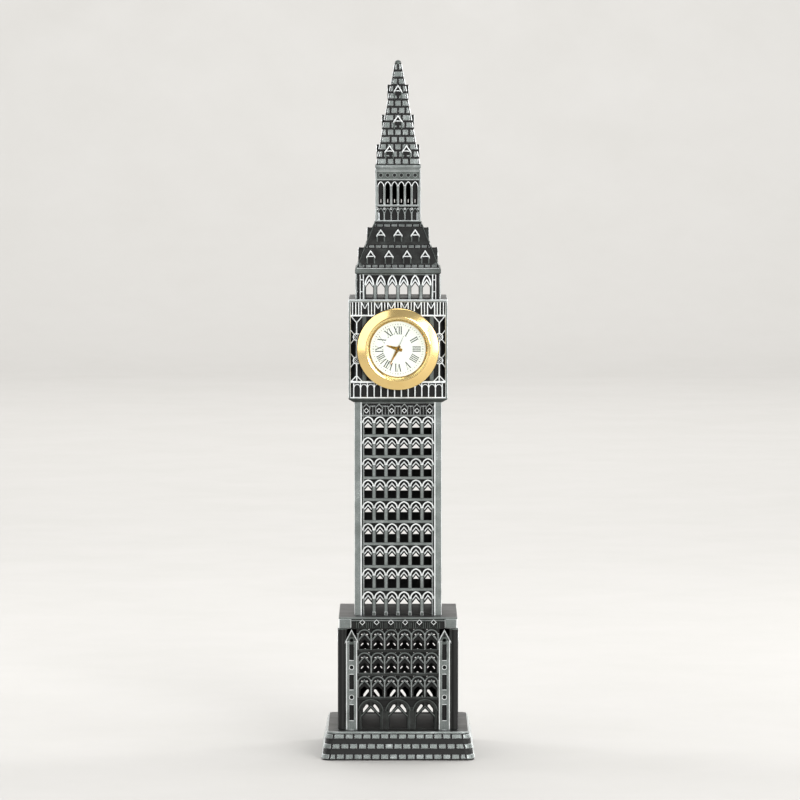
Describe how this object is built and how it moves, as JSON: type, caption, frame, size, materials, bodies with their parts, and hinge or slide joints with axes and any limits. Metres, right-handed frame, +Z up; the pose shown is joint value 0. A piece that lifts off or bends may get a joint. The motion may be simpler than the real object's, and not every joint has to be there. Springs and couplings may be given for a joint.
{
  "type": "miniature landmark model",
  "caption": "Openwork cast-metal model of a gothic clock tower on a stepped square base, with a round gold-rimmed push-in clock in its front face.",
  "frame": {"origin": "middle of the underside, where the felt pad meets the table", "axes": "+Z up the tower, -Y out of the clock's dial, +X to the right of a viewer facing the dial"},
  "size_m": [0.068, 0.068, 0.308],
  "materials": {
    "felt": "dyed pressed felt",
    "antique_zinc": "die-cast zinc, antique pewter plate, brushed high spots and near-black recesses",
    "dark_zinc": "die-cast zinc, blackened antique plate, brushed high spots",
    "screw_steel": "zinc-plated steel",
    "gold_plate": "polished gold-plated brass",
    "crystal_glass": "clear mineral glass",
    "gasket_nylon": "natural nylon",
    "dial_enamel": "satin white lacquer on brass",
    "case_plastic": "black moulded ABS",
    "grip_rubber": "translucent ribbed elastomer",
    "holder_plastic": "white moulded plastic",
    "movement_brass": "machined brass",
    "pole_iron": "soft magnetic iron",
    "coil_copper": "lacquered copper winding",
    "board_green": "solder-masked glass epoxy",
    "cell_steel": "nickel-plated steel",
    "hand_gilt": "gilt brass",
    "hand_dark": "blackened steel",
    "magnet": "sintered magnet on a steel arbor"
  },
  "bodies": {
    "tower": {"felt_pad": "felt", "base_plinth": "dark_zinc", "base_screws": "screw_steel", "lower_stage": "dark_zinc", "shaft": "antique_zinc", "shaft_screws": "screw_steel", "clock_stage": "antique_zinc", "stage_screws": "screw_steel", "belfry": "antique_zinc", "belfry_screws": "screw_steel", "lower_roof": "dark_zinc", "roof_screws": "screw_steel", "lantern": "antique_zinc", "lantern_screws": "screw_steel", "spire": "dark_zinc", "spire_screw": "screw_steel"},
    "clock_insert": {"bezel": "gold_plate", "crystal": "crystal_glass", "crystal_gasket": "gasket_nylon", "reflector_ring": "gold_plate", "dial": "dial_enamel", "case_body": "case_plastic", "case_back": "cell_steel", "grip_ring": "grip_rubber", "movement_holder": "holder_plastic", "main_plate": "movement_brass", "train_bridge": "movement_brass", "bridge_screws": "screw_steel", "stator": "pole_iron", "coil": "coil_copper", "coil_core": "pole_iron", "circuit_board": "board_green", "quartz_can": "cell_steel", "battery": "cell_steel", "battery_clip": "screw_steel"},
    "seconds_arbor": {"fourth_wheel": "movement_brass", "second_hand": "hand_dark"},
    "minute_arbor": {"cannon_pinion": "screw_steel", "centre_wheel": "movement_brass", "minute_hand": "hand_gilt"},
    "hour_pipe": {"hour_wheel": "movement_brass", "hour_hand": "hand_gilt"},
    "minute_idler": {"minute_wheel": "movement_brass"},
    "third_arbor": {"third_wheel": "movement_brass"},
    "fifth_arbor": {"fifth_wheel": "movement_brass"},
    "motor_rotor": {"rotor": "magnet"},
    "setting_stem": {"stem": "screw_steel"},
    "setting_crown": {"crown": "gold_plate"}
  },
  "joints": [
    {"name": "clock_pull_out", "type": "slide", "parent": "tower", "child": "clock_insert", "axis": [0, -1, 0], "range_m": [0, 0.02]},
    {"name": "second_hand_turn", "type": "hinge", "parent": "clock_insert", "child": "seconds_arbor", "pos_m": [0, -0.0219, 0.1811], "axis": [0, 1, 0], "continuous": true},
    {"name": "minute_hand_turn", "type": "hinge", "parent": "clock_insert", "child": "minute_arbor", "pos_m": [0, -0.0219, 0.1811], "axis": [0, 1, 0], "continuous": true},
    {"name": "hour_hand_turn", "type": "hinge", "parent": "clock_insert", "child": "hour_pipe", "pos_m": [0, -0.0219, 0.1811], "axis": [0, 1, 0], "continuous": true},
    {"name": "minute_wheel_turn", "type": "hinge", "parent": "clock_insert", "child": "minute_idler", "pos_m": [0.00184, -0.0219, 0.17956], "axis": [0, 1, 0], "continuous": true},
    {"name": "third_wheel_turn", "type": "hinge", "parent": "clock_insert", "child": "third_arbor", "pos_m": [0.00153, -0.0219, 0.18375], "axis": [0, 1, 0], "continuous": true},
    {"name": "fifth_wheel_turn", "type": "hinge", "parent": "clock_insert", "child": "fifth_arbor", "pos_m": [-0.0026, -0.0219, 0.18156], "axis": [0, 1, 0], "continuous": true},
    {"name": "rotor_turn", "type": "hinge", "parent": "clock_insert", "child": "motor_rotor", "pos_m": [-0.00477, -0.0219, 0.18077], "axis": [0, 1, 0], "continuous": true},
    {"name": "stem_pull", "type": "slide", "parent": "clock_insert", "child": "setting_stem", "axis": [1, 0, 0], "range_m": [0, 0.0008]},
    {"name": "crown_turn", "type": "hinge", "parent": "setting_stem", "child": "setting_crown", "pos_m": [0.0155, -0.02055, 0.1811], "axis": [1, 0, 0], "continuous": true}
  ],
  "couplings": [
    {"joint": "minute_hand_turn", "follows": "second_hand_turn", "ratio": 0.016667},
    {"joint": "hour_hand_turn", "follows": "second_hand_turn", "ratio": 0.0013889},
    {"joint": "minute_wheel_turn", "follows": "second_hand_turn", "ratio": -0.0055556},
    {"joint": "third_wheel_turn", "follows": "second_hand_turn", "ratio": -0.13333},
    {"joint": "fifth_wheel_turn", "follows": "second_hand_turn", "ratio": -5},
    {"joint": "rotor_turn", "follows": "second_hand_turn", "ratio": 30}
  ]
}
